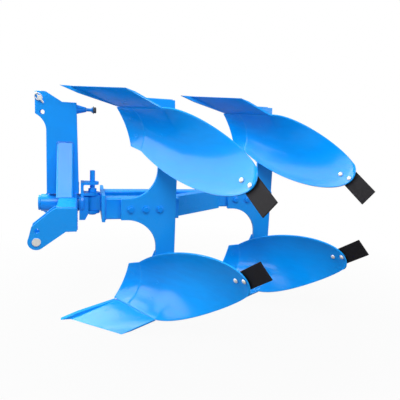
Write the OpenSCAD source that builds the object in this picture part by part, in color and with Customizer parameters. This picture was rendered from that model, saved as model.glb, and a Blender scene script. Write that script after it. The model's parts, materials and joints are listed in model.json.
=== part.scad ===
// Reversible two-furrow moldboard plough for a three-point hitch, in millimetres.
// Each furrow has one body below the turnover axis and its mirror image above it.
// Built from the turnover axis: X runs rearward from the front point, Y to the right of travel, Z up.

/* [Bodies] */
// Distance from one body to the next along the travel
body_spacing = 700; // [600:10:900]
// Distance from one body to the next across the travel
furrow_w = 280; // [250:5:330]
// Height of the turnover axis over the floor
axis_h = 652; // [640:1:700]
// Distance of the front body's landside from the turnover axis
land_offset = 104; // [95:1:115]
// Thickness of the moldboard and shin
board_t = 8; // [5:0.5:10]
// Thickness of the share
share_t = 11; // [8:0.5:14]
// Hollow of the moldboard's face at its middle
board_hollow = 60; // [40:1:70]
// Width of the bar point
bar_w = 32; // [26:1:36]
// Thickness of the landside
landside_t = 15; // [10:1:20]
// Length of the landside, from the point's tip to its heel
landside_l = 600; // [560:5:680]
// Height of the landside's upper edge over the floor
landside_h = 88; // [70:1:91]
// Height of the landside's lower edge over the floor
landside_rise = 36; // [10:1:45]
// Thickness of the frog's plate
frog_t = 20; // [14:1:26]

/* [Tail strips] */
// Width of the tail strip
strip_w = 100; // [80:1:110]
// Length of the tail strip
strip_l = 275; // [240:5:320]
// Thickness of the tail strip
strip_t = 9; // [6:0.5:12]

/* [Beams and legs] */
// Width of the two beams across the travel
beam_w = 90; // [70:1:110]
// Height of the two beams
beam_h = 120; // [100:1:130]
// Wall of the beams
beam_wall = 8; // [5:0.5:12]
// Thickness of the leg plates
leg_t = 25; // [18:1:32]
// Width of a leg's shank
shank_w = 108; // [90:1:130]
// Length of the leg's mounting pad along the beam
pad_l = 302; // [280:1:330]
// Radius where the pad runs into the shank
leg_fillet = 165; // [120:1:180]
// Reach of the leg below the axis
leg_reach = 430; // [380:5:450]

/* [Headstock] */
// Height of the top link hole over the lower pins
mast_height = 610; // [560:1:660]
// Distance between the two lower hitch points
hitch_span = 825; // [780:5:900]
// Diameter of the lower hitch pins
lower_pin_d = 28; // [22:0.5:36]
// Diameter of the top link hole
top_bore_d = 26; // [20:0.5:32]
// Gap between the two mast plates
mast_gap = 54; // [46:1:64]
// Thickness of the mast plates
mast_t = 16; // [10:1:20]
// Gap between the two ears of a lower hitch bracket
ear_gap = 50; // [44:1:60]
// Thickness of the ears
ear_t = 16; // [10:1:20]
// Outer diameter of the turnover bearing
bearing_d = 96; // [86:1:104]
// Diameter of the turnover shaft
shaft_d = 66; // [50:1:74]
// Radial clearance of the shaft in its bearing
running_gap = 0.05; // [0.02:0.01:0.09]

/* [Hidden] */
$fn = 64;
seat = 0.3;
blue = "dodgerblue";
steel = "lightsteelblue";
black = "#201e22";

// Faces of the near beam and of the far beam that carry the legs
near_face = -200;
far_face = near_face + furrow_w;
flange_x = 217;
flange_t = 18;
beam_x = flange_x + flange_t;

// Leg, from its own body's tip along X
pad_x = 317;
shank_x = pad_x + pad_l - shank_w;
leg_end_x = pad_x + pad_l;

// Headstock heights over the axis
lower_pin_z = -104;
lower_pin_x = -91;
top_hole = [-92, lower_pin_z + mast_height];
pin_hole = [-101, top_hole[1] + 74];
cross_x = -4;
cross_l = 94;
cross_h = 116;
mast_y = mast_gap / 2;
ear_y = hitch_span / 2;
ear_in = ear_y - ear_gap / 2 - ear_t;
ear_out = ear_y + ear_gap / 2;
bearing_front = -104;
bearing_rear = 100;
head_x = bearing_rear + 6;
pivot_x = 170;
near_end = leg_end_x + 22;
far_end = body_spacing + leg_end_x + 10;
far_beam_h = 104;
strut_inset = 53;
strut_end = body_spacing + pad_x - 52;
strut_w = 60;
flange_h = 150;

// Swivel between the turnover shaft and the frame
head_t = 16;
head_d = 150;
lug_h = 88;
lug_d = 62;
clevis_t = 16;
clevis_w = 84;
cheek_y = bearing_d / 2 + 3;
cheek_t = 14;
cheek_end = head_x + 42;
cheek_top = 40;
cheek_low = -91;
cheek_cut = 36;
tower_w = 90;
tower_top = 122;
tower_plate_w = 70;
pivot_d = 28;
pivot_gap = 0.15;
pivot_reach = lug_h / 2 + clevis_t + seat;
pivot_top = 187;
cap_t = 14;
cap_gap = 1;
cap_d = 84;

// Mast, brackets and pins
cross_wall = 8;
ear_x = -127;
ear_top = 616;
mast_knee = 8;
mast_top = 566;
mast_rear = 96;
cheek_x = mast_rear + 3;
mast_front = -72;
neck_z = 407;
neck_r = 100;
web_t = 12;
brace_x = -18;
brace_w = 86;
brace_t = 50;
brace_top = 348;
brace_foot = 172;
ear_r = 40;
ear_field = 600;
spare_hole_d = 22;
pin_head_d = 40;
pin_head_t = 8;
anchor_z = 530;
anchor_r = mast_y - 1;
anchor_l = 52;
anchor_rod_d = 18;
anchor_rod_l = 36;

// Shape of one lower body: X from its tip, Y from its landside, Z from the floor
notch = [292, 0, 99];
kink = [486, -329, 93];
shin_top = [371, -18, 310];
board_top = [421, -77, 330];
tail_tip = [867, -708, 352];
top_curve = [board_top, [596, -331, 535], [861, -823, 546], tail_tip];
low_curve = [kink, [611, -393, 67], [895, -606, 271], tail_tip];
edge_z = 2;
shoulder = [52, -bar_w - seat, edge_z];
wing = [315, -282, edge_z];
shin_hollow = 14;
seam_u = 0.12;
kink_u = 0.35;
ease = 0.1;
tail_u = 0.985;
bar_nose = 90;
bar_nose_h = 35;
bar_sole = 70;
bar_l = 300;
bar_rise = 95;
bar_depth = 40;
frog_low = landside_rise + 6;
frog_top = axis_h - leg_reach + 180;

// Where the tail strip lies on the back of the moldboard, and the point its outer end aims at
strip_u = 0.8;
strip_v = 0.66;
strip_aim = [885, -847, 511];
strip_lap = 52;

// Where the stay behind the moldboard starts on the frog and ends on the board
stay_foot = [572, axis_h - leg_reach - 62];
stay_u = 0.56;
stay_v = 0.42;
stay_d = 24;
stay_pad_d = 50;
stay_pad_t = 8;

// The whole plough's middle, which is put over the origin
front_x = lower_pin_x - ear_r;
rear_x = body_spacing + 928;
near_y = -land_offset - 849;
far_y = ear_out + ear_t + pin_head_t;
mid_x = (front_x + rear_x) / 2;
mid_y = (near_y + far_y) / 2;

function unit(a) = a / norm(a);
function lerp(a, b, t) = a + (b - a) * t;
function bezier(p, t) =
    (1 - t)^3 * p[0] + 3 * t * (1 - t)^2 * p[1] + 3 * t^2 * (1 - t) * p[2] + t^3 * p[3];
function steps(a, b, n) = [for (i = [0:n]) lerp(a, b, i / n)];

// The moldboard's face: a hollow section from its lower edge to its upper edge at each u
function low_edge(u) =
    u < kink_u ? lerp(notch, kink, u / kink_u) : bezier(low_curve, (u - kink_u) / (1 - kink_u));
function top_edge(u) =
    u < seam_u ? lerp(shin_top, board_top, u / seam_u)
    : bezier(top_curve, (u - seam_u) / (1 - seam_u));
// The lower edge with its corner at the share's wing eased, so that the face above it has no crease
function ease_w(u) = ease * max(0, 1 - abs(u - kink_u) / (3 * ease));
function eased_low(u) =
    let (w = ease_w(u)) w == 0 ? low_edge(u)
    : [for (i = [-4:4]) 1] * [for (i = [-4:4]) low_edge(u + w * i / 4)] / 9;
function middle(u) = (eased_low(u) + top_edge(u)) / 2;
function rearward(u, e = 0.03) =
    unit(cross(top_edge(u) - eased_low(u), middle(min(u + e, 0.99)) - middle(max(u - e, 0))));
function hollow(u) = shin_hollow * (1 - u) + board_hollow * 6.75 * u * (1 - u)^2;
function face(u, v) =
    (1 - v)^2 * eased_low(u) + (1 - v)^5 * (low_edge(u) - eased_low(u)) + v^2 * top_edge(u)
    + 2 * v * (1 - v) * (middle(u) + 2 * hollow(u) * rearward(u));
function face_back(u, v, e = 0.01) =
    unit(cross(face(u, v + e) - face(u, v - e), face(min(u + e, 0.995), v) - face(max(u - e, 0), v)));
function behind(u, v, d) = face(u, v) + face_back(u, v) * d;

// The share's face, from its cutting edge to the seam under the moldboard
share_u = kink_u * (bar_w + seat) / -kink[1];
function share_face(s, v) =
    lerp(lerp(shoulder, wing, s), low_edge(lerp(share_u, kink_u, s)), v);
function share_down(s, v, e = 0.01) =
    unit(cross(share_face(s, v + e) - share_face(s, v - e), share_face(s + e, v) - share_face(s - e, v)));
function share_under(s, v, d) = share_face(s, v) + share_down(s, v) * d;
share_seam_v = 0.993;

// The u at which the back of the moldboard, d behind its face, reaches a given y
function u_at(y, v, d, lo = 0, hi = 0.6, n = 18) =
    n == 0 ? (lo + hi) / 2
    : behind((lo + hi) / 2, v, d)[1] > y ? u_at(y, v, d, (lo + hi) / 2, hi, n - 1)
    : u_at(y, v, d, lo, (lo + hi) / 2, n - 1);
function s_at(y, v, d, lo = 0, hi = 1, n = 18) =
    n == 0 ? (lo + hi) / 2
    : share_under((lo + hi) / 2, v, d)[1] > y ? s_at(y, v, d, (lo + hi) / 2, hi, n - 1)
    : s_at(y, v, d, lo, (lo + hi) / 2, n - 1);

// A closed plate between a front grid and a back grid of n rows by m points
module plate_between(front, back, n, m) {
    k = n * m;
    function quad(a, b, c, d) = [[a, b, c], [a, c, d]];
    sheets = [for (i = [0:n - 2]) for (j = [0:m - 2]) let (a = i * m + j)
        each concat(quad(a, a + m, a + m + 1, a + 1),
                    quad(k + a, k + a + 1, k + a + m + 1, k + a + m))];
    ends = [for (j = [0:m - 2]) let (a = j, b = (n - 1) * m + j)
        each concat(quad(a, a + 1, k + a + 1, k + a), quad(b, k + b, k + b + 1, b + 1))];
    sides = [for (i = [0:n - 2]) let (a = i * m, b = i * m + m - 1)
        each concat(quad(a, k + a, k + a + m, a + m), quad(b, b + m, k + b + m, k + b))];
    polyhedron(concat(front, back), concat(sheets, ends, sides), convexity = 6);
}

module board_piece(us, vs, t) {
    front = [for (u = us) for (v = vs) face(u, v)];
    back = [for (u = us) for (v = vs) behind(u, v, t)];
    plate_between(front, back, len(us), len(vs));
}

// Placing: the plough over the origin, one body below the axis, and its mirror image
module placed() translate([-mid_x, -mid_y, axis_h]) children();
module lower_body(k) placed() translate([k * body_spacing, k * furrow_w - land_offset, -axis_h]) children();
module upper_body(k) placed() mirror([0, 0, 1])
    translate([k * body_spacing, k * furrow_w - land_offset, -axis_h]) children();
module both_bodies(k) {
    lower_body(k) children();
    upper_body(k) children();
}

// Lying in a plane across Y, from y0 to y1, with the outline given as [x, z]
module across(y0, y1) translate([0, y1, 0]) rotate([90, 0, 0]) linear_extrude(y1 - y0) children();
module rod_x(x0, x1, d) translate([x0, 0, 0]) rotate([0, 90, 0]) cylinder(d = d, h = x1 - x0);
module rod_between(a, b, d) translate(a) rotate([0, acos((b - a)[2] / norm(b - a)), atan2((b - a)[1], (b - a)[0])])
    cylinder(d = d, h = norm(b - a));
module rod_y(y0, y1, d) translate([0, y0, 0]) rotate([-90, 0, 0]) cylinder(d = d, h = y1 - y0);

// Shapes of the pieces of one body
module moldboard_shape() {
    us = [for (t = steps(0, 1, 26)) lerp(seam_u + 0.002, tail_u, 1 - (1 - t)^1.35)];
    color(blue) board_piece(us, steps(0, 1, 12), board_t);
}
module shin_shape() color(blue) board_piece(steps(0, seam_u - 0.002, 4), steps(0, 1, 10), board_t);
module share_shape() {
    ss = steps(0, 1, 8);
    vs = [0, 0.12, 0.25, 0.5, 0.75, share_seam_v];
    front = [for (s = ss) for (v = vs) share_face(s, v)];
    back = [for (s = ss) for (v = vs)
        let (p = share_under(s, v, max(1.5, share_t * min(1, v / 0.25))))
        [p[0], min(p[1], -bar_w - seat), p[2]]];
    color(blue) plate_between(front, back, len(ss), len(vs));
}
module bar_shape() color(blue) across(-bar_w, 0) polygon([
    [0, 0], [bar_nose, bar_nose_h], [bar_l, bar_rise], [bar_l, bar_rise - bar_depth], [bar_sole, 0]]);
module landside_shape() {
    front = bar_l + seat;
    color(blue) across(-landside_t, 0) polygon([[front, landside_rise], [landside_l, landside_rise],
        [landside_l, landside_h], [front, landside_h]]);
}
module frog_shape() {
    y0 = near_face + land_offset;
    share_line = [for (v = [0.66, 0.8, 0.95])
        let (p = share_under(s_at(y0, v, share_t + 2), v, share_t + 2)) [p[0], p[2]]];
    board_line = [for (v = steps(0.04, 0.8, 8))
        let (p = behind(u_at(y0, v, board_t + 0.5), v, board_t + 0.5)) [p[0], p[2]]];
    color(blue) {
        across(y0, y0 + frog_t) polygon(concat(
            [[leg_end_x - 20, frog_low], [share_line[0][0] + 40, frog_low]], share_line, board_line,
            [[shank_x, frog_top], [leg_end_x - 6, frog_top]]));
        translate([bar_l + 120, y0 + frog_t, frog_low])
            cube([landside_l - bar_l - 160, -landside_t - y0 - frog_t, landside_h - frog_low - 6]);
    }
}
module strip_shape() {
    spot = behind(strip_u, strip_v, board_t + seat);
    normal = face_back(strip_u, strip_v);
    aim = strip_aim - spot;
    out = unit(aim - normal * (aim * normal));
    side = cross(normal, out);
    color(black) multmatrix([for (i = [0:2]) [out[i], side[i], normal[i], spot[i]]])
        translate([-strip_lap, -strip_w / 2, 0]) cube([strip_l, strip_w, strip_t]);
}
module stay_shape() {
    y0 = near_face + land_offset;
    spot = behind(stay_u, stay_v, board_t + seat);
    normal = face_back(stay_u, stay_v);
    foot = [stay_foot[0], y0 - stay_pad_t, stay_foot[1]];
    color(blue) {
        translate([stay_foot[0], 0, stay_foot[1]]) rod_y(y0 - stay_pad_t, y0, stay_pad_d);
        rod_between(foot, spot + normal * (stay_pad_t + stay_d / 4), stay_d);
        rod_between(spot, spot + normal * stay_pad_t, stay_pad_d);
    }
}

module moldboard_front_lower() lower_body(0) moldboard_shape();
module moldboard_front_upper() upper_body(0) moldboard_shape();
module moldboard_rear_lower() lower_body(1) moldboard_shape();
module moldboard_rear_upper() upper_body(1) moldboard_shape();
module share_front_lower() lower_body(0) share_shape();
module share_front_upper() upper_body(0) share_shape();
module share_rear_lower() lower_body(1) share_shape();
module share_rear_upper() upper_body(1) share_shape();
module shins_front() both_bodies(0) shin_shape();
module shins_rear() both_bodies(1) shin_shape();
module points_front() both_bodies(0) bar_shape();
module points_rear() both_bodies(1) bar_shape();
module landsides_front() both_bodies(0) landside_shape();
module landsides_rear() both_bodies(1) landside_shape();
module frogs_front() both_bodies(0) frog_shape();
module frogs_rear() both_bodies(1) frog_shape();
module tail_strips_front() both_bodies(0) strip_shape();
module tail_strips_rear() both_bodies(1) strip_shape();

module stays_front() both_bodies(0) stay_shape();
module stays_rear() both_bodies(1) stay_shape();

// Frame that turns over
module box_tube(size, wall) difference() {
    cube(size);
    translate([-1, wall, wall]) cube(size + [2, -2 * wall, -2 * wall]);
}
module beam_near() color(blue) placed()
    translate([beam_x, near_face, -beam_h / 2]) box_tube([near_end - beam_x, beam_w, beam_h], beam_wall);
module beam_far() color(blue) placed()
    translate([beam_x, far_face, -far_beam_h / 2]) box_tube([far_end - beam_x, beam_w, far_beam_h], beam_wall);
module diagonal_beam() {
    start = near_face + strut_inset;
    slope = (far_face - start) / (strut_end - near_end);
    across_x = strut_w / sin(atan(slope));
    inner = near_face + beam_w;
    color(blue) placed() translate([0, 0, -beam_h / 2]) linear_extrude(beam_h) polygon([
        [near_end, start], [strut_end, far_face], [strut_end - across_x, far_face],
        [near_end + (inner - start) / slope - across_x, inner], [near_end, inner]]);
}
module leg_outline() {
    for (side = [0, 1]) mirror([0, side]) difference() {
        translate([pad_x, 0]) square([pad_l, leg_reach]);
        translate([pad_x - 1, beam_h / 2 + leg_fillet])
            square([shank_x - pad_x + 1, leg_reach]);
        translate([pad_x - 1, beam_h / 2]) square([shank_x - leg_fillet - pad_x + 1, leg_reach]);
        translate([shank_x - leg_fillet, beam_h / 2 + leg_fillet]) circle(r = leg_fillet, $fn = 128);
    }
}
module leg(k) color(blue) placed() translate([k * body_spacing, k * furrow_w, 0])
    across(near_face - leg_t, near_face) leg_outline();
module leg_front() leg(0);
module leg_rear() leg(1);
module frame_flange() color(blue) placed() {
    difference() {
        union() {
            translate([flange_x, near_face, -flange_h / 2])
                cube([flange_t, far_face + beam_w - near_face, flange_h]);
            translate([0, 0, -lug_h / 2]) linear_extrude(lug_h) {
                translate([pivot_x, 0]) circle(d = lug_d);
                translate([pivot_x, -lug_d / 2]) square([flange_x - pivot_x + 1, lug_d]);
            }
        }
        translate([pivot_x, 0, -lug_h]) cylinder(d = pivot_d + 2 * pivot_gap, h = 2 * lug_h);
    }
}
module pivot_pin() color(blue) placed() translate([pivot_x, 0, 0]) {
    translate([0, 0, -pivot_reach]) cylinder(d = pivot_d, h = pivot_reach + pivot_top);
    translate([0, 0, -pivot_reach - 10]) cylinder(d = pivot_d + 16, h = 10);
    translate([0, 0, pivot_reach]) cylinder(d = pivot_d + 18, h = 22, $fn = 6);
}
module swivel_plate(w) linear_extrude(clevis_t) difference() {
    union() {
        translate([pivot_x, 0]) circle(d = w);
        translate([head_x, -w / 2]) square([pivot_x - head_x, w]);
    }
    translate([pivot_x, 0]) circle(d = pivot_d + 2 * pivot_gap);
}
module swivel_head() color(blue) placed() {
    rod_x(head_x, head_x + head_t, head_d);
    for (side = [-1, 1]) {
        translate([0, 0, side * (lug_h / 2 + seat + clevis_t / 2) - clevis_t / 2]) swivel_plate(clevis_w);
        translate([0, side * (cheek_y + cheek_t / 2), 0]) across(-cheek_t / 2, cheek_t / 2)
            polygon([[cheek_x, cheek_top], [cheek_end, cheek_top], [cheek_end, cheek_low + cheek_cut],
                [cheek_end - cheek_cut / 2, cheek_low], [cheek_x, cheek_low]]);
    }
    translate([head_x, -tower_w / 2, 0]) cube([head_t, tower_w, tower_top]);
    translate([0, 0, tower_top - clevis_t]) swivel_plate(tower_plate_w);
}
module turnover_shaft() color(blue) placed() {
    rod_x(bearing_front - cap_t, head_x, shaft_d);
    rod_x(bearing_front - cap_t, bearing_front - cap_gap, cap_d);
}

// Headstock
module bearing_tube() color(blue) placed() difference() {
    rod_x(bearing_front, bearing_rear, bearing_d);
    rod_x(bearing_front - 1, bearing_rear + 1, shaft_d + 2 * running_gap);
}
module cross_tube() color(blue) placed() difference() {
    translate([cross_x, -ear_out, -cross_h / 2]) cube([cross_l, 2 * ear_out, cross_h]);
    translate([cross_x + cross_wall, -ear_out - 1, -cross_h / 2 + cross_wall])
        cube([cross_l - 2 * cross_wall, 2 * ear_out + 2, cross_h - 2 * cross_wall]);
    rod_x(cross_x - 1, cross_x + cross_l + 1, bearing_d);
}
module mast_outline() difference() {
    polygon([[ear_x, ear_top], [ear_x + 51, ear_top + 2], [mast_knee, mast_top], [mast_rear - 13, mast_top],
        [mast_rear, cross_h / 2], [mast_front, cross_h / 2], [mast_front, neck_z], [ear_x, neck_z]]);
    translate([mast_front - neck_r, neck_z]) circle(r = neck_r, $fn = 96);
    translate(top_hole) circle(d = top_bore_d);
    translate(pin_hole) circle(d = top_bore_d);
}
module mast_left() color(blue) placed() across(-mast_y - mast_t, -mast_y) mast_outline();
module mast_right() color(blue) placed() across(mast_y, mast_y + mast_t) mast_outline();
module mast_webs() color(blue) placed() {
    translate([mast_rear - 13 - web_t, -mast_y, cross_h / 2]) cube([web_t, mast_gap, mast_top - cross_h / 2 - 8]);
    translate([mast_front, -mast_y, cross_h / 2]) cube([web_t, mast_gap, neck_z - cross_h / 2 - 20]);
}
module brace(side) {
    top = mast_y + mast_t;
    depth = brace_t / cos(atan((brace_top - cross_h / 2) / (brace_foot - top)));
    width = brace_t / sin(atan((brace_top - cross_h / 2) / (brace_foot - top)));
    color(blue) placed() mirror([0, side < 0 ? 1 : 0, 0]) translate([brace_x, 0, 0])
        rotate([90, 0, 90]) linear_extrude(brace_w) polygon([
            [top, brace_top], [brace_foot, cross_h / 2], [brace_foot - width, cross_h / 2],
            [top, brace_top - depth]]);
}
module brace_left() brace(-1);
module brace_right() brace(1);
module ear_outline() difference() {
    union() {
        polygon([[lower_pin_x - 22, -30], [-19, 51], [cross_x, cross_h / 2], [cross_x + cross_l, cross_h / 2],
            [cross_x + cross_l, -cross_h / 2], [40, -cross_h / 2], [lower_pin_x + ear_r * 0.62,
            lower_pin_z - ear_r * 0.78], [lower_pin_x - ear_r, lower_pin_z]]);
        translate([lower_pin_x, lower_pin_z]) circle(r = ear_r);
    }
    translate([lower_pin_x, lower_pin_z]) circle(d = lower_pin_d + 2 * pivot_gap);
    translate([lower_pin_x + 2, lower_pin_z + 53]) circle(d = spare_hole_d);
}
module bracket(side) color(blue) placed() mirror([0, side < 0 ? 1 : 0, 0]) {
    across(ear_out, ear_out + ear_t) ear_outline();
    across(ear_in, ear_in + ear_t) intersection() {
        ear_outline();
        translate([cross_x - ear_field, -ear_field / 2]) square(ear_field);
    }
}
module bracket_left() bracket(-1);
module bracket_right() bracket(1);
module lower_pin(side) color(steel) placed() mirror([0, side < 0 ? 1 : 0, 0])
    translate([lower_pin_x, 0, lower_pin_z]) {
        rod_y(ear_in - 14, ear_out + ear_t, lower_pin_d);
        rod_y(ear_out + ear_t, ear_out + ear_t + pin_head_t, pin_head_d);
    }
module lower_pin_left() lower_pin(-1);
module lower_pin_right() lower_pin(1);
module top_link_pin() color(steel) placed() translate([pin_hole[0], 0, pin_hole[1]]) {
    rod_y(-mast_y - mast_t - 22, mast_y + mast_t, top_bore_d - 2 * pivot_gap);
    rod_y(mast_y + mast_t, mast_y + mast_t + 8, top_bore_d + 14);
}
module cylinder_anchor() color(blue) placed() translate([mast_rear - 13, 0, anchor_z]) rotate([0, 90, 0]) {
    cylinder(r1 = anchor_r, r2 = anchor_rod_d * 0.7, h = anchor_l);
    cylinder(d = anchor_rod_d, h = anchor_l + anchor_rod_l);
    translate([0, 0, anchor_l + anchor_rod_l - 8]) cylinder(d = anchor_rod_d + 12, h = 8);
}

mast_left();
mast_right();
mast_webs();
bearing_tube();
cross_tube();
brace_left();
brace_right();
bracket_left();
bracket_right();
lower_pin_left();
lower_pin_right();
top_link_pin();
cylinder_anchor();
turnover_shaft();
swivel_head();
pivot_pin();
frame_flange();
beam_near();
beam_far();
diagonal_beam();
leg_front();
leg_rear();
moldboard_front_lower();
moldboard_front_upper();
moldboard_rear_lower();
moldboard_rear_upper();
share_front_lower();
share_front_upper();
share_rear_lower();
share_rear_upper();
shins_front();
shins_rear();
points_front();
points_rear();
landsides_front();
landsides_rear();
frogs_front();
frogs_rear();
tail_strips_front();
tail_strips_rear();
stays_front();
stays_rear();
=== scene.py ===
import json
import math
import bpy
import numpy as np
from mathutils import Matrix, Vector


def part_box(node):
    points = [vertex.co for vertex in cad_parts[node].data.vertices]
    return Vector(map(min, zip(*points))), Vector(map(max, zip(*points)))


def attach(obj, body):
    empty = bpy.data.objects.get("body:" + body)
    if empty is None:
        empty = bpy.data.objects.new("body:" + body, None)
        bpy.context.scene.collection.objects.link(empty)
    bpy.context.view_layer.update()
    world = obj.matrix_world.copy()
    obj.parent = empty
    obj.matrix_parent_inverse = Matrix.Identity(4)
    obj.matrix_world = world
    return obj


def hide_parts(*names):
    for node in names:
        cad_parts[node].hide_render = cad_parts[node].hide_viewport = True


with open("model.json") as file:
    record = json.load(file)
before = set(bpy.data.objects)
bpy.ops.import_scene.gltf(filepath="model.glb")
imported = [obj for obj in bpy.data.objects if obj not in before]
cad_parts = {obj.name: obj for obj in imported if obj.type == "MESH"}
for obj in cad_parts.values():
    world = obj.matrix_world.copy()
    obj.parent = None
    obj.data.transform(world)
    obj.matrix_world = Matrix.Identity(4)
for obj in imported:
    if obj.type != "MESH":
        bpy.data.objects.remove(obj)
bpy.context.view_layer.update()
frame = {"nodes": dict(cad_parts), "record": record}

# In millimetres: the middle of the plough and the turnover axis's height, then the bodies' places.
MID_X, MID_Y, AXIS_H = 748.5, -245.75, 652.0
SPACING, FURROW, LAND = 700.0, 280.0, 104.0
HEAD, TURN = "headstock", "turnover"


def at(x, y, z):
    """A point measured in millimetres from the turnover axis, in the row frame."""
    return Vector(((x - MID_X) / 1000, (y - MID_Y) / 1000, (z + AXIS_H) / 1000))


# Modelling by hand.

def drop_selection():
    if bpy.context.object and bpy.context.object.mode != "OBJECT":
        bpy.ops.object.mode_set(mode="OBJECT")
    bpy.ops.object.select_all(action="DESELECT")


def only(piece):
    drop_selection()
    piece.select_set(True)
    bpy.context.view_layer.objects.active = piece
    return piece


def take(name):
    """The primitive that was just added, under its own name."""
    piece = bpy.context.object
    piece.name = piece.data.name = name
    return piece


def settle(piece):
    only(piece)
    bpy.ops.object.transform_apply(location=True, rotation=True, scale=True)
    return piece


def finish_with(piece, kind, **settings):
    only(piece)
    modifier = piece.modifiers.new(kind.lower(), kind)
    for key, value in settings.items():
        setattr(modifier, key, value)
    bpy.ops.object.modifier_apply(modifier=modifier.name)
    return piece


def pick(piece, kind, test):
    """Leaves the piece in edit mode with the parts that pass the test selected."""
    only(piece)
    bpy.ops.object.mode_set(mode="EDIT")
    bpy.ops.mesh.select_mode(type=kind)
    bpy.ops.mesh.select_all(action="DESELECT")
    bpy.ops.object.mode_set(mode="OBJECT")
    mesh = piece.data
    for part in {"VERT": mesh.vertices, "EDGE": mesh.edges, "FACE": mesh.polygons}[kind]:
        part.select = bool(test(part))
    bpy.ops.object.mode_set(mode="EDIT")


def leave():
    bpy.ops.object.mode_set(mode="OBJECT")


def close_up(piece):
    """Fills a mesh's open ends and turns its faces outward."""
    pick(piece, "EDGE", lambda edge: True)
    bpy.ops.mesh.fill_holes(sides=0)
    bpy.ops.mesh.select_all(action="SELECT")
    bpy.ops.mesh.normals_make_consistent(inside=False)
    leave()
    return piece


def edge_ends(mesh, edge):
    return mesh.vertices[edge.vertices[0]].co, mesh.vertices[edge.vertices[1]].co


def smooth(piece, angle=32):
    only(piece)
    bpy.ops.object.shade_smooth_by_angle(angle=math.radians(angle))
    return piece


def join(name, pieces):
    only(pieces[0])
    for piece in pieces:
        piece.select_set(True)
    bpy.ops.object.join()
    return take(name)


def copy_of(piece, matrix, name):
    twin = bpy.data.objects.new(name, piece.data.copy())
    bpy.context.collection.objects.link(twin)
    twin.data.transform(matrix)
    if matrix.determinant() < 0:
        twin.data.flip_normals()
    return twin


def throw_away(*pieces):
    for piece in pieces:
        bpy.data.objects.remove(piece)


# Finishes.

class Sock:
    """A socket that can be used in sums; each operation adds its Math node."""

    def __init__(self, finish, socket):
        self.finish, self.socket = finish, socket

    def _sum(self, operation, a, b):
        return self.finish.node("ShaderNodeMath", {"operation": operation}, {0: a, 1: b})["Value"]

    def __add__(self, other): return self._sum("ADD", self, other)
    def __radd__(self, other): return self._sum("ADD", other, self)
    def __sub__(self, other): return self._sum("SUBTRACT", self, other)
    def __mul__(self, other): return self._sum("MULTIPLY", self, other)
    def __rmul__(self, other): return self._sum("MULTIPLY", other, self)


class Made:
    """A node's outputs by name."""

    def __init__(self, finish, node):
        self.finish, self.raw = finish, node

    def __getitem__(self, name):
        return Sock(self.finish, self.raw.outputs[name])


class Finish:
    """One material, or the world, and its nodes."""

    def __init__(self, owner):
        self.owner = owner
        owner.use_nodes = True
        self.tree = owner.node_tree
        self.tree.nodes.clear()

    def node(self, kind, settings=None, inputs=None):
        raw = self.tree.nodes.new(kind)
        for key, value in (settings or {}).items():
            setattr(raw, key, value)
        for key, value in (inputs or {}).items():
            if isinstance(value, Sock):
                self.tree.links.new(value.socket, raw.inputs[key])
            else:
                raw.inputs[key].default_value = value
        return Made(self, raw)

    def place(self, scale=(1, 1, 1)):
        spot = self.node("ShaderNodeTexCoord")["Object"]
        return self.node("ShaderNodeMapping", inputs={"Vector": spot, "Scale": scale})["Vector"]

    def noise(self, scale, detail=3, rough=0.5, stretch=(1, 1, 1)):
        return self.node("ShaderNodeTexNoise", inputs={
            "Vector": self.place(stretch), "Scale": scale, "Detail": detail, "Roughness": rough})["Fac"]

    def ramp(self, value, low, high, to_low=0.0, to_high=1.0):
        return self.node("ShaderNodeMapRange", {"clamp": True}, {
            "Value": value, "From Min": low, "From Max": high, "To Min": to_low, "To Max": to_high})["Result"]

    def blend(self, amount, first, second):
        mix = self.node("ShaderNodeMix", {"data_type": "RGBA"}, {0: amount})
        for index, colour in ((6, first), (7, second)):
            if isinstance(colour, Sock):
                self.tree.links.new(colour.socket, mix.raw.inputs[index])
            else:
                mix.raw.inputs[index].default_value = (*colour, 1)
        return Sock(self, mix.raw.outputs[2])

    def rim(self):
        """How near a point is to the piece's own sharp edges, as its mesh says; the blue paint uses it for a painted
        edge highlight, the satin black for worn edges.
        """
        return self.node("ShaderNodeAttribute", {"attribute_name": "rim"})["Fac"]

    def bump(self, height, strength, depth):
        return self.node("ShaderNodeBump", inputs={
            "Strength": strength, "Distance": depth, "Height": height})["Normal"]

    def close(self, **inputs):
        shader = self.node("ShaderNodeBsdfPrincipled", inputs={
            key.replace("_", " "): value for key, value in inputs.items()})
        self.node("ShaderNodeOutputMaterial", inputs={"Surface": shader["BSDF"]})
        return self.owner


def new_finish(name):
    return Finish(bpy.data.materials.new(name))


def blue_enamel(name, base, paler, deeper, streak=(1, 1, 1), peel=0.10, edge=0.42):
    """Gloss blue paint with orange peel, slow changes of shade, fine handling marks and a painted highlight along
    sharp edges.
    """
    f = new_finish(name)
    cloud = f.ramp(f.noise(2.6, 4, 0.55), 0.32, 0.70)
    flow = f.ramp(f.noise(9, 5, 0.6, streak), 0.38, 0.68)
    marks = f.ramp(f.noise(70, 4, 0.7, streak), 0.66, 0.74)
    specks = f.ramp(f.noise(420, 2, 0.6), 0.71, 0.76)
    rim = f.rim()
    colour = f.blend(cloud * 0.45 + flow * 0.35, base, deeper)
    # rim * edge is a painted highlight: sharp edges turn paler blue where light would catch them. The marks and
    # specks are real paler paint.
    colour = f.blend(rim * edge + marks * 0.10 + specks * 0.12, colour, paler)
    rough = 0.30 + flow * 0.07 + marks * 0.10 + specks * 0.12 - rim * 0.05
    grain = f.noise(560, 2, 0.5) + f.noise(60, 3, 0.5) * 1.5 - specks * 0.8
    return f.close(Base_Color=colour, Roughness=rough, Metallic=0.0, Coat_Weight=0.30 + flow * 0.16 - marks * 0.16,
                   Coat_Roughness=0.17, IOR=1.18, Normal=f.bump(grain, peel, 0.0009))


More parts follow.
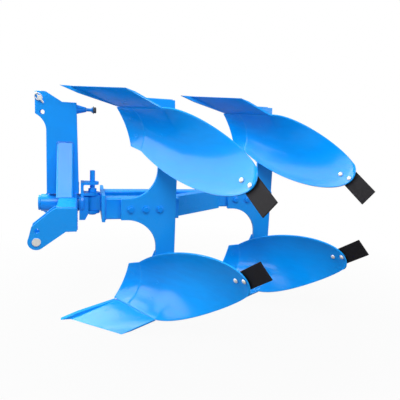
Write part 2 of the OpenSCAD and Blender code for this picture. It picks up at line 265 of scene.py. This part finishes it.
def weld_enamel():
    """The same blue paint over rippled weld beads."""
    f = new_finish("blue_paint_on_welds")
    ripple = f.noise(230, 3, 0.5)
    scale = f.ramp(f.noise(45, 3), 0.35, 0.7)
    colour = f.blend(scale * 0.5, (0.002, 0.215, 0.83), (0.001, 0.150, 0.66))
    return f.close(Base_Color=colour, Roughness=0.34 + ripple * 0.15, Metallic=0.0, Coat_Weight=0.2 * ripple,
                   Coat_Roughness=0.15, Normal=f.bump(ripple, 0.55, 0.003))


def zinc_plate():
    """Bright zinc with a faint warm passivation, cloudy roughness and drawn lines."""
    f = new_finish("zinc_plate")
    cloud = f.ramp(f.noise(38, 4, 0.6), 0.35, 0.68)
    lines = f.noise(260, 3, 0.6, (1, 9, 1))
    stain = f.ramp(f.noise(120, 4, 0.65), 0.60, 0.74)
    rim = f.rim()
    colour = f.blend(cloud, (0.88, 0.88, 0.85), (0.76, 0.75, 0.69))
    colour = f.blend(stain * 0.35, colour, (0.40, 0.36, 0.28))
    colour = f.blend(rim * 0.5, colour, (0.92, 0.91, 0.88))
    return f.close(Base_Color=colour, Metallic=0.40, Roughness=0.30 + cloud * 0.16 + stain * 0.15,
                   Normal=f.bump(lines + cloud, 0.12, 0.0006))


def black_board():
    """Satin black on the tail strips: fine grain, dusty scuffs and greyer edges."""
    f = new_finish("satin_black")
    grain = f.noise(520, 3, 0.6)
    scuff = f.ramp(f.noise(42, 5, 0.7, (3, 1, 1)), 0.55, 0.75)
    rim = f.rim()
    colour = f.blend(scuff * 0.5 + rim * 0.5, (0.0065, 0.0060, 0.0070), (0.028, 0.026, 0.029))
    return f.close(Base_Color=colour, Metallic=0.0, Roughness=0.47 + scuff * 0.18 + grain * 0.08, IOR=1.2,
                   Normal=f.bump(grain + scuff * 0.6, 0.22, 0.0008))


def dark_steel():
    """Oiled dark steel of small fittings."""
    f = new_finish("oiled_steel")
    cloud = f.noise(90, 4, 0.6)
    colour = f.blend(f.ramp(cloud, 0.35, 0.7), (0.020, 0.022, 0.028), (0.060, 0.062, 0.070))
    colour = f.blend(f.rim() * 0.5, colour, (0.22, 0.22, 0.23))
    return f.close(Base_Color=colour, Metallic=0.8, Roughness=0.33 + cloud * 0.2,
                   Normal=f.bump(cloud, 0.15, 0.0006))


# Each blue's edge value is the strength of its painted edge highlight. The boards get a weaker one.
FRAME_BLUE = blue_enamel("blue_paint_on_frame", (0.000, 0.258, 0.87), (0.04, 0.48, 0.97), (0.000, 0.214, 0.77))
BOARD_BLUE = blue_enamel("blue_paint_on_boards", (0.000, 0.308, 0.89), (0.05, 0.52, 0.98), (0.000, 0.245, 0.78),
                         streak=(1, 1, 5), peel=0.07, edge=0.2)
WELD_BLUE = weld_enamel()
ZINC = zinc_plate()
BLACK = black_board()
OILED = dark_steel()


RIM_FROM, RIM_SPAN = 0.20, 0.35


def mark_rims(piece):
    """Stores how sharply the mesh turns at each point, in radians, so that the finishes can show worn edges on the
    satin black and a painted edge highlight on the blue paint.
    """
    mesh = piece.data
    turn = np.zeros(len(mesh.vertices), np.float32)
    normals = {}
    for face in mesh.polygons:
        for key in face.edge_keys:
            normals.setdefault(key, []).append(face.normal)
    for key, pair in normals.items():
        if len(pair) == 2 and pair[0].length > 0 and pair[1].length > 0:
            bend = min(1.0, max(0.0, (pair[0].angle(pair[1]) - RIM_FROM) / RIM_SPAN))
            for v in key:
                turn[v] = max(turn[v], bend)
    mesh.attributes.new("rim", "FLOAT", "POINT").data.foreach_set("value", turn)


def hand_over(piece, body, finish, *nodes, rims=True):
    """Gives a finished piece its paint, its body and the solids that it stands for."""
    piece.data.materials.clear()
    piece.data.materials.append(finish)
    for face in piece.data.polygons:
        face.material_index = 0
    if rims:
        mark_rims(piece)
    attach(piece, body)
    if nodes:
        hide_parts(*nodes)
    return piece


# The soil-turning surfaces of one body, in millimetres: X from its tip, Y from its landside, Z from the floor.

def p3(*xyz):
    return np.array(xyz, float)


NOTCH, KINK, SHIN_TOP, BOARD_TOP, TAIL = (
    p3(292, 0, 99), p3(486, -329, 93), p3(371, -18, 310), p3(421, -77, 330), p3(867, -708, 352))
TOP_CURVE = BOARD_TOP, p3(596, -331, 535), p3(861, -823, 546), TAIL
LOW_CURVE = KINK, p3(611, -393, 67), p3(895, -606, 271), TAIL
SEAM_U, KINK_U, TAIL_U, EASE = 0.12, 0.35, 0.985, 0.1
BOARD_T, SHARE_T, BAR_W, SEAT = 8.0, 11.0, 32.0, 0.3
SHIN_HOLLOW, BOARD_HOLLOW = 14, 60
SHOULDER, WING = p3(52, -BAR_W - SEAT, 2), p3(315, -282, 2)
SHARE_U = KINK_U * (BAR_W + SEAT) / -KINK[1]


def unit(a):
    return a / np.linalg.norm(a)


def bezier(p, t):
    return (1 - t) ** 3 * p[0] + 3 * t * (1 - t) ** 2 * p[1] + 3 * t * t * (1 - t) * p[2] + t ** 3 * p[3]


def low_edge(u):
    return NOTCH + (KINK - NOTCH) * u / KINK_U if u < KINK_U else bezier(LOW_CURVE, (u - KINK_U) / (1 - KINK_U))


def top_edge(u):
    if u < SEAM_U:
        return SHIN_TOP + (BOARD_TOP - SHIN_TOP) * u / SEAM_U
    return bezier(TOP_CURVE, (u - SEAM_U) / (1 - SEAM_U))


def eased_low(u):
    """The lower edge with its corner at the share's wing eased, so that the face above it has no crease."""
    width = EASE * max(0.0, 1 - abs(u - KINK_U) / (3 * EASE))
    return sum(low_edge(u + width * i / 4) for i in range(-4, 5)) / 9


def middle(u):
    return (eased_low(u) + top_edge(u)) / 2


def rearward(u, e=0.03):
    return unit(np.cross(top_edge(u) - eased_low(u), middle(min(u + e, 0.99)) - middle(max(u - e, 0))))


def board_face(u, v):
    """The hollow is deepest a third of the way back, where 6.75 u (1 - u)^2 is one."""
    hollow = SHIN_HOLLOW * (1 - u) + BOARD_HOLLOW * 6.75 * u * (1 - u) ** 2
    return ((1 - v) ** 2 * eased_low(u) + (1 - v) ** 5 * (low_edge(u) - eased_low(u)) + v * v * top_edge(u)
            + 2 * v * (1 - v) * (middle(u) + 2 * hollow * rearward(u)))


def board_back(u, v, e=0.01):
    return unit(np.cross(board_face(u, v + e) - board_face(u, v - e),
                         board_face(min(u + e, 0.995), v) - board_face(max(u - e, 0), v)))


def share_face(s, v):
    edge = SHOULDER + (WING - SHOULDER) * s
    return edge + (low_edge(SHARE_U + (KINK_U - SHARE_U) * s) - edge) * v


def share_down(s, v, e=0.01):
    return unit(np.cross(share_face(s, v + e) - share_face(s, v - e),
                         share_face(s + e, v) - share_face(s - e, v)))


def body_matrix(k, upper):
    """From one body's own coordinates in millimetres to the row frame."""
    place = Matrix.Translation(Vector((k * SPACING, k * FURROW - LAND, -AXIS_H)))
    turn = Matrix.Diagonal((1, 1, -1, 1)) if upper else Matrix.Identity(4)
    to_row = Matrix.Translation(at(0, 0, 0)) @ Matrix.Scale(0.001, 4)
    return to_row @ turn @ place


BODIES = [(k, word, upper, level) for k, word in ((0, "front"), (1, "rear"))
          for upper, level in ((False, "lower"), (True, "upper"))]


def formed_sheet(name, surface, back, u0, u1, v0, v1, nu, nv, thick, taper=None):
    """A flat grid pressed onto a surface and given its thickness, in one body's millimetres."""
    drop_selection()
    bpy.ops.mesh.primitive_grid_add(x_subdivisions=nu, y_subdivisions=nv, size=2)
    sheet = take(name)
    mesh = sheet.data
    places = [(u0 + (p.co.x + 1) / 2 * (u1 - u0), v0 + (p.co.y + 1) / 2 * (v1 - v0)) for p in mesh.vertices]
    for point, (u, v) in zip(mesh.vertices, places):
        point.co = Vector(surface(u, v))
    mesh.update()
    middle_face = mesh.polygons[len(mesh.polygons) // 2]
    behind = back(*places[middle_face.vertices[0]])
    if middle_face.normal.dot(Vector(behind)) > 0:
        mesh.flip_normals()
    settings = {"thickness": thick, "offset": -1, "use_even_offset": False, "use_quality_normals": True}
    if taper:
        group = sheet.vertex_groups.new(name="edge")
        for point, (u, v) in zip(mesh.vertices, places):
            group.add([point.index], taper(v), "REPLACE")
        settings.update(vertex_group="edge", thickness_vertex_group=0.12)
    finish_with(sheet, "SOLIDIFY", **settings)
    sheet.vertex_groups.clear()
    return sheet


moldboard = formed_sheet("moldboard", board_face, board_back, SEAM_U, TAIL_U, 0, 1, 72, 30, BOARD_T)
shin = formed_sheet("shin", board_face, board_back, 0, SEAM_U, 0, 1, 12, 30, BOARD_T)
share = formed_sheet("share", share_face, share_down, 0, 1, 0, 0.993, 26, 16, SHARE_T, lambda v: min(1, v / 0.25))
for point in share.data.vertices:
    point.co.y = min(point.co.y, -BAR_W - SEAT)
for sheet, soft in ((moldboard, 1.1), (shin, 0.9), (share, 0.6)):
    finish_with(sheet, "BEVEL", width=soft, segments=2, limit_method="ANGLE", angle_limit=math.radians(50))
    for k, word, upper, level in BODIES:
        piece = copy_of(sheet, body_matrix(k, upper), f"{sheet.name}_{word}_{level}_formed")
        smooth(piece, 40)
        node = f"shins_{word}" if sheet is shin else f"{sheet.name}_{word}_{level}"
        hand_over(piece, TURN, BOARD_BLUE, node)
throw_away(moldboard, shin, share)


# Rolled, cut and turned pieces, softened from the solids; widths and radii in millimetres.

def solid_copy(node):
    """The solid of a CAD node as one merged mesh with whole faces."""
    piece = bpy.data.objects.new(node + "_dressed", frame["nodes"][node].data.copy())
    bpy.context.collection.objects.link(piece)
    piece.data.materials.clear()
    only(piece)
    bpy.ops.object.mode_set(mode="EDIT")
    bpy.ops.mesh.select_all(action="SELECT")
    bpy.ops.mesh.remove_doubles(threshold=0.00002)
    bpy.ops.mesh.dissolve_limited(angle_limit=math.radians(0.6))
    leave()
    return piece


def round_corners(piece, test, radius, segments=4):
    """Rolls the corners of a tube along the edges that pass the test."""
    mesh = piece.data
    pick(piece, "EDGE", lambda edge: test(*edge_ends(mesh, edge)))
    bpy.ops.mesh.bevel(offset=radius / 1000, segments=segments, profile=0.5)
    leave()
    return piece


def soften(piece, width, segments=2):
    finish_with(piece, "BEVEL", width=width / 1000, segments=segments, limit_method="ANGLE",
                angle_limit=math.radians(28), use_clamp_overlap=True)
    smooth(piece)
    return finish_with(piece, "WEIGHTED_NORMAL", keep_sharp=True)


def outer_edge_along(axis, node, least=0.5):
    """Tests for the long outer edges of a tube."""
    low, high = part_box(node)
    rest = [i for i in range(3) if i != axis]

    def test(a, b):
        if abs(b[axis] - a[axis]) < least * (high[axis] - low[axis]):
            return False
        return all(min(abs(a[i] - low[i]), abs(a[i] - high[i])) < 2e-4 and abs(a[i] - b[i]) < 2e-4 for i in rest)
    return test


def slanted_edge(a, b):
    run = b - a
    return abs(run.x) < 1e-4 and run.length > 0.15


TUBES = {"beam_near": (0, 10), "beam_far": (0, 10), "cross_tube": (1, 10)}
SOFT = {"beam_near": 1.4, "beam_far": 1.4, "cross_tube": 1.6, "mast_left": 2.2, "mast_right": 2.2, "mast_webs": 1.5,
        "bearing_tube": 2.0, "brace_left": 1.8, "brace_right": 1.8, "bracket_left": 2.2, "bracket_right": 2.2,
        "lower_pin_left": 2.5, "lower_pin_right": 2.5, "top_link_pin": 2.0, "cylinder_anchor": 1.5,
        "turnover_shaft": 2.5, "swivel_head": 2.0, "pivot_pin": 1.6, "frame_flange": 2.2, "diagonal_beam": 2.0,
        "leg_front": 2.6, "leg_rear": 2.6, "points_front": 1.5, "points_rear": 1.5, "landsides_front": 1.8,
        "landsides_rear": 1.8, "frogs_front": 1.8, "frogs_rear": 1.8, "tail_strips_front": 2.2,
        "tail_strips_rear": 2.2, "stays_front": 1.6, "stays_rear": 1.6}
ZINC_NODES = {"lower_pin_left", "lower_pin_right", "top_link_pin"}
BODY_OF = {node: body for body, nodes in frame["record"]["behaviour"]["bodies"].items() for node in nodes}

for node, width in SOFT.items():
    piece = solid_copy(node)
    if node in TUBES:
        axis, radius = TUBES[node]
        round_corners(piece, outer_edge_along(axis, node), radius)
    elif node.startswith("brace"):
        round_corners(piece, slanted_edge, 9)
    soften(piece, width)
    if node.startswith("tail_strips"):
        paint = BLACK
    elif node in ZINC_NODES:
        paint = ZINC
    else:
        paint = BOARD_BLUE if node.split("_")[0] in ("points", "landsides", "frogs") else FRAME_BLUE
    hand_over(piece, BODY_OF[node], paint, node)


# Bolts, nuts and pins, each modelled once at the origin with its axis along Z.

def hex_head(name="hex_head", across=30, tall=13, washer=44):
    """A hexagon head with a chamfered crown on its washer."""
    drop_selection()
    bpy.ops.mesh.primitive_cylinder_add(vertices=6, radius=across / 2000 / math.cos(math.pi / 6),
                                        depth=tall / 1000, location=(0, 0, (tall / 2 + 3) / 1000))
    head = settle(take(name))
    pick(head, "FACE", lambda face: face.normal.z > 0.9)
    bpy.ops.mesh.inset(thickness=0.0022)
    bpy.ops.transform.translate(value=(0, 0, 0.0016))
    leave()
    finish_with(head, "BEVEL", width=0.0008, segments=2, limit_method="ANGLE", angle_limit=math.radians(25))
    drop_selection()
    bpy.ops.mesh.primitive_cylinder_add(vertices=40, radius=washer / 2000, depth=0.003, location=(0, 0, 0.0015))
    ring = settle(take("washer"))
    pick(ring, "FACE", lambda face: face.normal.z > 0.9)
    bpy.ops.mesh.inset(thickness=0.002)
    bpy.ops.transform.translate(value=(0, 0, 0.0006))
    leave()
    return smooth(join(name, [head, ring]))


def nut_end(name="nut_end", across=30, tall=16, thread=20, stub=12):
    """A nut on its washer with the bolt's end standing out of it."""
    nut = hex_head(name, across, tall, across * 1.4)
    drop_selection()
    length = (tall + stub) / 1000
    bpy.ops.mesh.primitive_grid_add(x_subdivisions=24, y_subdivisions=stub * 2, size=2)
    thread_piece = take("thread")
    for point in thread_piece.data.vertices:
        turn, rise = (point.co.x + 1) * math.pi, (point.co.y + 1) / 2
        radius = thread / 2000 - 0.0007 * (0.5 + 0.5 * math.cos(rise * stub / 2.5 * 2 * math.pi - turn))
        point.co = (radius * math.cos(turn), radius * math.sin(turn), 0.004 + rise * length)
    pick(thread_piece, "VERT", lambda point: True)
    bpy.ops.mesh.remove_doubles(threshold=0.00001)
    leave()
    pick(thread_piece, "VERT", lambda point: point.co.z > 0.004 + length - 1e-5)
    bpy.ops.mesh.edge_face_add()
    bpy.ops.mesh.inset(thickness=0.0012)
    bpy.ops.transform.translate(value=(0, 0, 0.0008))
    leave()
    close_up(thread_piece)
    return smooth(join(name, [nut, thread_piece]), 40)


def dome_head(name="dome_head", across=26, tall=7):
    """A round carriage-bolt head."""
    drop_selection()
    bpy.ops.mesh.primitive_uv_sphere_add(segments=32, ring_count=16, radius=across / 2000)
    dome = take(name)
    pick(dome, "VERT", lambda point: point.co.z < -1e-6)
    bpy.ops.mesh.delete(type="VERT")
    bpy.ops.mesh.select_all(action="SELECT")
    bpy.ops.transform.resize(value=(1, 1, 2 * tall / across))
    leave()
    pick(dome, "VERT", lambda point: point.co.z < 1e-5)
    bpy.ops.mesh.edge_face_add()
    bpy.ops.mesh.extrude_region_move(TRANSFORM_OT_translate={"value": (0, 0, -0.0015)})
    leave()
    return smooth(close_up(dome), 50)


def flush_head(name="flush_head", across=24, stand=0.9, socket=9):
    """A plough bolt's flat head, sunk in its plate, with a square socket."""
    drop_selection()
    bpy.ops.mesh.primitive_cylinder_add(vertices=32, radius=across / 2000, depth=0.006,
                                        location=(0, 0, stand / 1000 - 0.003))
    head = settle(take(name))
    pick(head, "FACE", lambda face: face.normal.z > 0.9)
    bpy.ops.mesh.inset(thickness=0.0016)
    bpy.ops.mesh.inset(thickness=(across - socket) / 2000 - 0.0016)
    bpy.ops.mesh.extrude_region_move(TRANSFORM_OT_translate={"value": (0, 0, -0.003)})
    leave()
    finish_with(head, "BEVEL", width=0.0005, segments=2, limit_method="ANGLE", angle_limit=math.radians(40))
    return smooth(head)


def linch_pin(name="linch_pin"):
    """A spring-ring pin: its shank along Z and its ring swung over one side."""
    drop_selection()
    bpy.ops.mesh.primitive_cylinder_add(vertices=24, radius=0.005, depth=0.052, location=(0, 0, 0))
    shank = settle(take(name))
    pick(shank, "FACE", lambda face: face.normal.z < -0.9)
    bpy.ops.mesh.extrude_region_move(TRANSFORM_OT_translate={"value": (0, 0, -0.006)})
    bpy.ops.transform.resize(value=(0.5, 0.5, 1))
    leave()
    pick(shank, "FACE", lambda face: face.normal.z > 0.9)
    bpy.ops.mesh.extrude_region_move(TRANSFORM_OT_translate={"value": (0, 0, 0.002)})
    bpy.ops.transform.resize(value=(1.6, 1.6, 1))
    bpy.ops.mesh.extrude_region_move(TRANSFORM_OT_translate={"value": (0, 0, 0.008)})
    leave()
    finish_with(shank, "BEVEL", width=0.0009, segments=2, limit_method="ANGLE", angle_limit=math.radians(35))
    drop_selection()
    bpy.ops.mesh.primitive_torus_add(major_radius=0.020, minor_radius=0.0022, major_segments=48, minor_segments=10,
                                     location=(0, 0.004, 0.009), rotation=(math.radians(82), 0, 0))
    ring = settle(take("ring"))
    pick(ring, "VERT", lambda point: point.co.z < -0.005)
    bpy.ops.transform.translate(value=(0, -0.004, 0))
    leave()
    return smooth(join(name, [shank, ring]), 45)


def grease_nipple(name="grease_nipple"):
    """A small hexagon fitting with a ball end."""
    drop_selection()
    bpy.ops.mesh.primitive_cylinder_add(vertices=6, radius=0.006, depth=0.006, location=(0, 0, 0.003))
    nipple = settle(take(name))
    pick(nipple, "FACE", lambda face: face.normal.z > 0.9)
    for rise, spread in ((0, 0.62), (0.004, 0.8), (0.002, 1.35), (0.003, 0.7)):
        bpy.ops.mesh.extrude_region_move(TRANSFORM_OT_translate={"value": (0, 0, rise)})
        bpy.ops.transform.resize(value=(spread, spread, 1))
    leave()
    finish_with(nipple, "BEVEL", width=0.0005, segments=2, limit_method="ANGLE", angle_limit=math.radians(30))
    return smooth(nipple)


def pointing(spot, direction, roll=0.0):
    """Stands a fitting on a spot with its axis along a direction."""
    turn = Vector((0, 0, 1)).rotation_difference(Vector(direction)).to_matrix().to_4x4()
    return Matrix.Translation(Vector(spot)) @ turn @ Matrix.Rotation(roll, 4, "Z")


def set_of(name, fitting, places, body, finish):
    """Copies of one fitting at several places, as one piece."""
    twins = [copy_of(fitting, place, f"{name}_{i}") for i, place in enumerate(places)]
    piece = join(name, twins) if len(twins) > 1 else twins[0]
    piece.name = piece.data.name = name
    return hand_over(piece, body, finish)


HEX, NUT, DOME, FLUSH, LINCH, NIPPLE = hex_head(), nut_end(), dome_head(), flush_head(), linch_pin(), grease_nipple()


def body_spot(k, upper, point, direction):
    """A place on one body, from its own millimetres to the row frame."""
    m = body_matrix(k, upper)
    aim = (m.to_3x3() @ Vector(direction)).normalized()
    return pointing(m @ Vector(point), aim, 0.3)


def on_board(u, v):
    return board_face(u, v), -board_back(u, v)


def on_share(s, v):
    return share_face(s, v), -share_down(s, v)


TAIL_BOLTS = (0.77, 0.73), (0.845, 0.90)
SHARE_BOLTS = (0.17, 0.62), (0.30, 0.80), (0.50, 0.64), (0.76, 0.80)
SHIN_BOLTS = (0.055, 0.30), (0.055, 0.72)
FROG_BOLTS = (0.235, 0.25), (0.235, 0.52)
LANDSIDE_BOLTS = (446, 0, 62), (536, 0, 62)
LEG_FROG_BOLTS = (540, 352), (590, 352), (540, 404), (590, 404)
LEG_BEAM_BOLTS = 369, 451, 529
LEG_NEAR, BEAM_FAR_SIDE = -225, -110

for k, word, upper, level in BODIES:
    set_of(f"tail_bolts_{word}_{level}", DOME, [body_spot(k, upper, *on_board(*b)) for b in TAIL_BOLTS], TURN, ZINC)
    set_of(f"share_bolts_{word}_{level}", FLUSH, [body_spot(k, upper, *on_share(*b)) for b in SHARE_BOLTS],
           TURN, BOARD_BLUE)
    set_of(f"board_bolts_{word}_{level}", FLUSH,
           [body_spot(k, upper, *on_board(*b)) for b in SHIN_BOLTS + FROG_BOLTS], TURN, BOARD_BLUE)
    set_of(f"landside_bolts_{word}_{level}", FLUSH,
           [body_spot(k, upper, spot, (0, 1, 0)) for spot in LANDSIDE_BOLTS], TURN, BOARD_BLUE)
    side = 1 if upper else -1
    set_of(f"frog_bolts_{word}_{level}", HEX,
           [pointing(at(k * SPACING + x, k * FURROW + LEG_NEAR, side * z), (0, -1, 0), x)
            for x, z in LEG_FROG_BOLTS], TURN, FRAME_BLUE)
for k, word in ((0, "front"), (1, "rear")):
    xs = [k * SPACING + x for x in LEG_BEAM_BOLTS]
    set_of(f"leg_bolts_{word}", HEX, [pointing(at(x, k * FURROW + LEG_NEAR, 0), (0, -1, 0), x) for x in xs],
           TURN, FRAME_BLUE)
    set_of(f"leg_nuts_{word}", NUT, [pointing(at(x, k * FURROW + BEAM_FAR_SIDE, 0), (0, 1, 0), x) for x in xs],
           TURN, FRAME_BLUE)

TOP_CLIP, LOWER_CLIP, ANCHOR_END = (-101, -55, 580), (-91, 364, -98), (170.5, 0, 530)
BEARING_TOP, NIPPLE_X = 47.5, (-60, -30)
set_of("top_pin_clip", LINCH, [pointing(at(*TOP_CLIP), (-0.75, 0, 1), 2.6)], HEAD, ZINC)
set_of("lower_pin_clips", LINCH,
       [pointing(at(LOWER_CLIP[0], side * LOWER_CLIP[1], LOWER_CLIP[2]), (0.1, 0, 1), 1.2 * side)
        for side in (-1, 1)], HEAD, ZINC)
set_of("bearing_nipples", NIPPLE, [pointing(at(x, 0, BEARING_TOP), (0, 0, 1)) for x in NIPPLE_X], HEAD, ZINC)
set_of("anchor_nut", HEX, [pointing(at(*ANCHOR_END), (1, 0, 0), 0.3)], HEAD, OILED)
throw_away(HEX, NUT, DOME, FLUSH, LINCH, NIPPLE)


# The closing plate on the far beam's open end.

def end_cap(name, low, high, body):
    """A plate welded over a tube's open end, with rounded corners."""
    drop_selection()
    middle_spot, span = (at(*low) + at(*high)) / 2, at(*high) - at(*low)
    bpy.ops.mesh.primitive_cube_add(size=1, location=middle_spot, scale=span)
    cap = settle(take(name))
    mesh = cap.data
    thin = min(range(3), key=lambda i: span[i])

    def through(edge):
        a, b = edge_ends(mesh, edge)
        return abs((b - a)[thin]) > 1e-4

    pick(cap, "EDGE", through)
    bpy.ops.mesh.bevel(offset=0.008, segments=4)
    leave()
    soften(cap, 1.0)
    return hand_over(cap, body, FRAME_BLUE)


end_cap("far_beam_cap", (1329, 82, -50), (1335, 168, 50), TURN)


# Weld beads.

def beads(name, runs, body, radius=3.6):
    """Rippled weld beads along runs of points in axis millimetres, swept and made one mesh."""
    drop_selection()
    path = bpy.data.curves.new(name, "CURVE")
    path.dimensions, path.bevel_depth, path.bevel_resolution, path.use_fill_caps = "3D", radius / 1000, 2, True
    for run in runs:
        dense = []
        for a, b in zip(run, run[1:]):
            a, b = np.array(a, float), np.array(b, float)
            count = max(2, int(np.linalg.norm(b - a) / 5))
            dense += [a + (b - a) * i / count for i in range(count)]
        closed = run[0] == run[-1]
        if not closed:
            dense.append(np.array(run[-1], float))
        line = path.splines.new("POLY")
        line.use_cyclic_u = closed
        line.points.add(len(dense) - 1)
        for i, (point, spot) in enumerate(zip(line.points, dense)):
            point.co = (*at(*spot), 1)
            point.radius = 1 + 0.16 * math.sin(i * 2.3) + 0.10 * math.sin(i * 0.7)
        if not closed:
            line.points[0].radius = line.points[-1].radius = 0.55
    piece = bpy.data.objects.new(name, path)
    bpy.context.collection.objects.link(piece)
    only(piece)
    bpy.ops.object.convert(target="MESH")
    piece = take(name)
    pick(piece, "VERT", lambda point: True)
    bpy.ops.mesh.remove_doubles(threshold=0.00001)
    bpy.ops.mesh.normals_make_consistent(inside=False)
    leave()
    smooth(piece, 60)
    return hand_over(piece, body, WELD_BLUE, rims=False)


def ring_run(x, radius, count=48):
    ring = [(x, radius * math.cos(2 * math.pi * i / count), radius * math.sin(2 * math.pi * i / count))
            for i in range(count)]
    return ring + ring[:1]


def box_run(x, y0, y1, z0, z1):
    return [(x, y0, z0), (x, y1, z0), (x, y1, z1), (x, y0, z1), (x, y0, z0)]


# Faces that the beads run along: the mast's outer side, the cross tube's top and rear, the brace's rear, the outer
# ear and the swivel head's front plate.
MAST_SIDE, TUBE_TOP, TUBE_REAR, BRACE_REAR, EAR_SIDE, PLATE_X = 43.5, 58.5, 90.5, 68.5, 437, 122.5
mast_runs, brace_runs, bracket_runs, head_runs = [], [], [], []
for side in (-1, 1):
    mast_y, ear_y, foot_y = side * MAST_SIDE, side * EAR_SIDE, side * 172.5
    mast_runs.append([(-2, mast_y, TUBE_TOP), (90, mast_y, TUBE_TOP)])
    brace_runs.append([(BRACE_REAR, side * 118, TUBE_TOP), (BRACE_REAR, side * 171, TUBE_TOP),
                       (60, foot_y, TUBE_TOP), (-2, foot_y, TUBE_TOP)])
    brace_runs.append([(BRACE_REAR, mast_y, 226), (BRACE_REAR, mast_y, 340), (60, mast_y, 348.5),
                       (-10, mast_y, 348.5), (-18.5, mast_y, 340), (-18.5, mast_y, 226)])
    bracket_runs.append([(-4, ear_y, TUBE_TOP), (84, ear_y, TUBE_TOP), (TUBE_REAR, ear_y, 50),
                         (TUBE_REAR, ear_y, -50), (84, ear_y, -TUBE_TOP), (42, ear_y, -TUBE_TOP)])
    for y in (371, 388):
        bracket_runs.append([(-4.5, side * y, 48), (-4.5, side * y, -54)])
    for y in (50.5, 65.5):
        head_runs.append([(PLATE_X, side * y, -34), (PLATE_X, side * y, 34)])
    for z in (44, 60.8):
        head_runs.append([(PLATE_X, -40, side * z), (PLATE_X, 40, side * z)])
head_runs.append([(PLATE_X, -34, 105.5), (PLATE_X, 34, 105.5)])
FLANGE_FRONT, FLANGE_REAR, BEARING_R = 216.5, 235.5, 48.3
flange_runs = [[(FLANGE_FRONT, side * 31.5, -42), (FLANGE_FRONT, side * 31.5, 42)] for side in (-1, 1)]
flange_runs += [[(FLANGE_FRONT, -30, side * 44.5), (FLANGE_FRONT, 30, side * 44.5)] for side in (-1, 1)]
beads("mast_welds", mast_runs, HEAD)
beads("brace_welds", brace_runs, HEAD)
beads("bracket_welds", bracket_runs, HEAD)
beads("bearing_welds", [ring_run(x, BEARING_R) for x in (-4.5, TUBE_REAR)], HEAD)
beads("swivel_welds", head_runs, TURN, 3.0)
beads("lug_welds", flange_runs, TURN)
beads("beam_welds", [box_run(FLANGE_REAR, -200, -110, -60, 60), box_run(FLANGE_REAR, 80, 170, -52, 52)], TURN)


# Setting: pale floor, soft light and the camera.

def pale_floor():
    f = new_finish("pale_floor")
    seen = f.node("ShaderNodeLightPath")
    cloud = f.noise(1.5, 2)
    white = f.node("ShaderNodeBsdfDiffuse", inputs={"Color": f.blend(cloud, (0.22, 0.22, 0.22), (0.25, 0.25, 0.25))})
    glow = f.node("ShaderNodeEmission", inputs={"Color": (1, 1, 1, 1), "Strength": 1.0})
    away = f.node("ShaderNodeVectorMath", {"operation": "LENGTH"}, {0: f.place()})["Value"]
    amount = seen["Is Camera Ray"] * f.ramp(away, 0.9, 2.4, 0.95, 1.0) + seen["Is Glossy Ray"] * 0.1
    mix = f.node("ShaderNodeMixShader", inputs={0: amount, 1: white["BSDF"], 2: glow["Emission"]})
    f.node("ShaderNodeOutputMaterial", inputs={"Surface": mix["Shader"]})
    drop_selection()
    bpy.ops.mesh.primitive_plane_add(size=40, location=(0, 0, 0))
    floor = settle(take("floor"))
    floor.data.materials.append(f.owner)


WALL_LEVEL, CEILING_LEVEL = 0.10, 0.45


def studio_world():
    """A pale ceiling over duller walls; seen straight on, it is plain white."""
    world = bpy.data.worlds.new("studio")
    bpy.context.scene.world = world
    f = Finish(world)
    seen = f.node("ShaderNodeLightPath")
    way = f.node("ShaderNodeTexCoord")["Generated"]
    height = f.node("ShaderNodeSeparateXYZ", inputs={0: way})["Z"]
    level = f.ramp(height, 0.05, 0.75, WALL_LEVEL, CEILING_LEVEL)
    soft = f.node("ShaderNodeBackground", inputs={"Color": (0.95, 0.98, 1, 1), "Strength": level})
    white = f.node("ShaderNodeBackground", inputs={"Color": (1, 1, 1, 1), "Strength": 1.0})
    plain = seen["Is Camera Ray"] + seen["Is Transmission Ray"] + seen["Is Glossy Ray"] * 0.1
    mix = f.node("ShaderNodeMixShader", inputs={0: plain, 1: soft["Background"], 2: white["Background"]})
    f.node("ShaderNodeOutputWorld", inputs={"Surface": mix["Shader"]})


def softbox(name, place, aim, size, power):
    light = bpy.data.lights.new(name, "AREA")
    light.shape, light.size, light.energy = "DISK", size, power
    lamp = bpy.data.objects.new(name, light)
    lamp.location = place
    lamp.rotation_euler = (Vector(aim) - Vector(place)).to_track_quat("-Z", "Y").to_euler()
    bpy.context.collection.objects.link(lamp)


def camera():
    """The photo's camera as solved from the four bodies: angles in radians, lens and centre in its pixels."""
    yaw, pitch, roll, focal, centre, photo = 0.3388, 0.1563, 0.0574, 458.06, (241.88, 189.63), 400
    back = Vector((-math.sin(yaw) * math.cos(pitch), -math.cos(yaw) * math.cos(pitch), math.sin(pitch)))
    right = Vector((math.cos(yaw), -math.sin(yaw), 0))
    up = back.cross(right)
    lens = bpy.data.cameras.new("camera")
    lens.sensor_width, lens.lens = 36, 36 * focal / photo
    lens.shift_x, lens.shift_y = 0.5 - centre[0] / photo, centre[1] / photo - 0.5
    eye = bpy.data.objects.new("camera", lens)
    x = right * math.cos(roll) + up * math.sin(roll)
    y = up * math.cos(roll) - right * math.sin(roll)
    eye.matrix_world = Matrix.Translation(at(116.6, -2762.1, 537.9)) @ Matrix((x, y, back)).transposed().to_4x4()
    bpy.context.collection.objects.link(eye)
    bpy.context.scene.camera = eye


pale_floor()
studio_world()
softbox("left_window", (-3.7, 0.2, 2.2), (0, -0.1, 0.6), 3.0, 112)
softbox("front", (-0.6, -2.9, 3.4), (-0.1, 0, 0.6), 2.2, 92)
softbox("right_fill", (2.2, -3.0, 1.6), (0.1, 0, 0.6), 2.0, 42)
softbox("top_left", (-2.0, 1.3, 3.1), (-0.2, -0.1, 0.5), 2.4, 125)
camera()
bpy.context.scene.view_settings.view_transform = "Standard"
